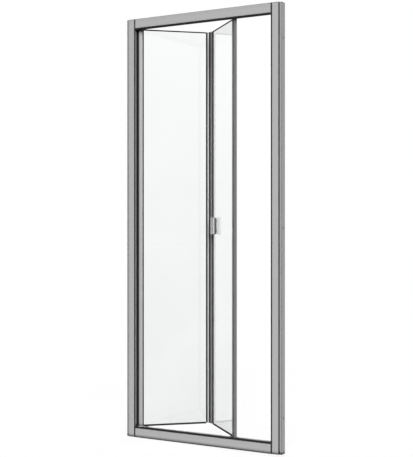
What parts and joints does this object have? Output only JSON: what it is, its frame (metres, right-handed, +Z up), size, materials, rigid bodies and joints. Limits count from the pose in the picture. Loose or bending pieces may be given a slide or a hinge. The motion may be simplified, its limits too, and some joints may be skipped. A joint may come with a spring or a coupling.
{
  "type": "bifold shower door",
  "caption": "Framed bifold shower door: glass leaves joined by a full-height hinge fold inwards, pivoting beside one post and guided by the top and bottom rails.",
  "frame": {"origin": "centre of the bottom rail's underside, on the shower tray, halfway between the posts and between the front and back of the rail", "axes": "+Z up, +X to the right seen from outside the enclosure, +Y into the enclosure. The joints' zero is the part-open pose of the picture, with the pivot leaf turned 43 degrees from shut"},
  "size_m": [0.78, 0.2496, 1.9],
  "materials": {
    "frame_aluminium": "satin grey",
    "handle_aluminium": "satin grey",
    "black_rubber": "matte black",
    "magnet_strip": "matte grey",
    "grey_plastic": "fine grain",
    "white_nylon": "natural",
    "stainless_steel": "brushed",
    "clear_glass": "clear, polished edges"
  },
  "bodies": {
    "frame": {"left_wall_profile": "frame_aluminium", "right_wall_profile": "frame_aluminium", "left_post": "frame_aluminium", "right_post": "frame_aluminium", "top_rail": "frame_aluminium", "bottom_rail": "frame_aluminium", "post_top_caps": "grey_plastic", "post_bottom_caps": "grey_plastic", "corner_screws": "stainless_steel", "adjusting_screws": "stainless_steel", "screw_caps": "grey_plastic", "post_edge_strips": "black_rubber", "top_rail_seal": "black_rubber", "bottom_rail_seal": "black_rubber", "pivot_post_seal": "black_rubber", "strike_magnet_seal": "magnet_strip", "top_pivot_block": "grey_plastic", "bottom_pivot_block": "grey_plastic", "pivot_block_screws": "stainless_steel", "top_pivot_bush": "white_nylon", "bottom_pivot_bush": "white_nylon", "thrust_washer": "white_nylon", "track_buffer": "black_rubber"},
    "pivot_leaf": {"pivot_leaf_glass": "clear_glass", "pivot_leaf_pivot_stile": "frame_aluminium", "pivot_leaf_fold_stile": "frame_aluminium", "pivot_leaf_gaskets": "black_rubber", "pivot_leaf_top_trim": "black_rubber", "pivot_leaf_drip_seal": "black_rubber", "pivot_leaf_fold_caps": "grey_plastic", "top_pivot_plug": "grey_plastic", "bottom_pivot_plug": "grey_plastic", "pivot_pins": "stainless_steel", "hinge_rod": "stainless_steel"},
    "guide_leaf": {"guide_leaf_glass": "clear_glass", "guide_leaf_fold_stile": "frame_aluminium", "guide_leaf_closing_stile": "frame_aluminium", "guide_leaf_gaskets": "black_rubber", "guide_leaf_top_trim": "black_rubber", "guide_leaf_drip_seal": "black_rubber", "guide_leaf_fold_caps": "grey_plastic", "top_guide_plug": "grey_plastic", "bottom_guide_plug": "grey_plastic", "closing_magnet_seal": "magnet_strip", "handle_grip": "handle_aluminium", "handle_base": "grey_plastic", "handle_pads": "black_rubber", "handle_sleeves": "white_nylon", "handle_bolts": "stainless_steel"},
    "top_carriage": {"carriage_body": "grey_plastic", "carriage_axles": "stainless_steel", "axle_clips": "stainless_steel", "carriage_pin": "stainless_steel"},
    "bottom_guide": {"guide_shoe": "white_nylon", "guide_pin": "stainless_steel"},
    "leading_outer_wheel": {"leading_outer_roller": "white_nylon"},
    "leading_inner_wheel": {"leading_inner_roller": "white_nylon"},
    "trailing_outer_wheel": {"trailing_outer_roller": "white_nylon"},
    "trailing_inner_wheel": {"trailing_inner_roller": "white_nylon"}
  },
  "joints": [
    {"name": "pivot_leaf_swing", "type": "hinge", "parent": "frame", "child": "pivot_leaf", "pos_m": [-0.3295, 0, 0.95], "axis": [0, 0, 1], "range_deg": [-43, 37]},
    {"name": "fold_hinge_turn", "type": "hinge", "parent": "pivot_leaf", "child": "guide_leaf", "pos_m": [-0.08599, 0.21614, 0.95], "axis": [0, 0, 1], "range_deg": [-74, 86]},
    {"name": "carriage_turn", "type": "hinge", "parent": "guide_leaf", "child": "top_carriage", "pos_m": [0.15752, 0, 1.85], "axis": [0, 0, 1], "range_deg": [-43, 37]},
    {"name": "guide_shoe_turn", "type": "hinge", "parent": "guide_leaf", "child": "bottom_guide", "pos_m": [0.15752, 0, 0.05], "axis": [0, 0, 1], "range_deg": [-43, 37]},
    {"name": "leading_outer_roll", "type": "hinge", "parent": "top_carriage", "child": "leading_outer_wheel", "pos_m": [0.16352, -0.0095, 1.88205], "axis": [0, 1, 0], "continuous": true},
    {"name": "leading_inner_roll", "type": "hinge", "parent": "top_carriage", "child": "leading_inner_wheel", "pos_m": [0.16352, 0.0095, 1.88205], "axis": [0, 1, 0], "continuous": true},
    {"name": "trailing_outer_roll", "type": "hinge", "parent": "top_carriage", "child": "trailing_outer_wheel", "pos_m": [0.12752, -0.0095, 1.88205], "axis": [0, 1, 0], "continuous": true},
    {"name": "trailing_inner_roll", "type": "hinge", "parent": "top_carriage", "child": "trailing_inner_wheel", "pos_m": [0.12752, 0.0095, 1.88205], "axis": [0, 1, 0], "continuous": true}
  ],
  "couplings": [
    {"joint": "fold_hinge_turn", "follows": "pivot_leaf_swing", "ratio": -2},
    {"joint": "carriage_turn", "follows": "pivot_leaf_swing", "ratio": 1},
    {"joint": "guide_shoe_turn", "follows": "pivot_leaf_swing", "ratio": 1}
  ]
}
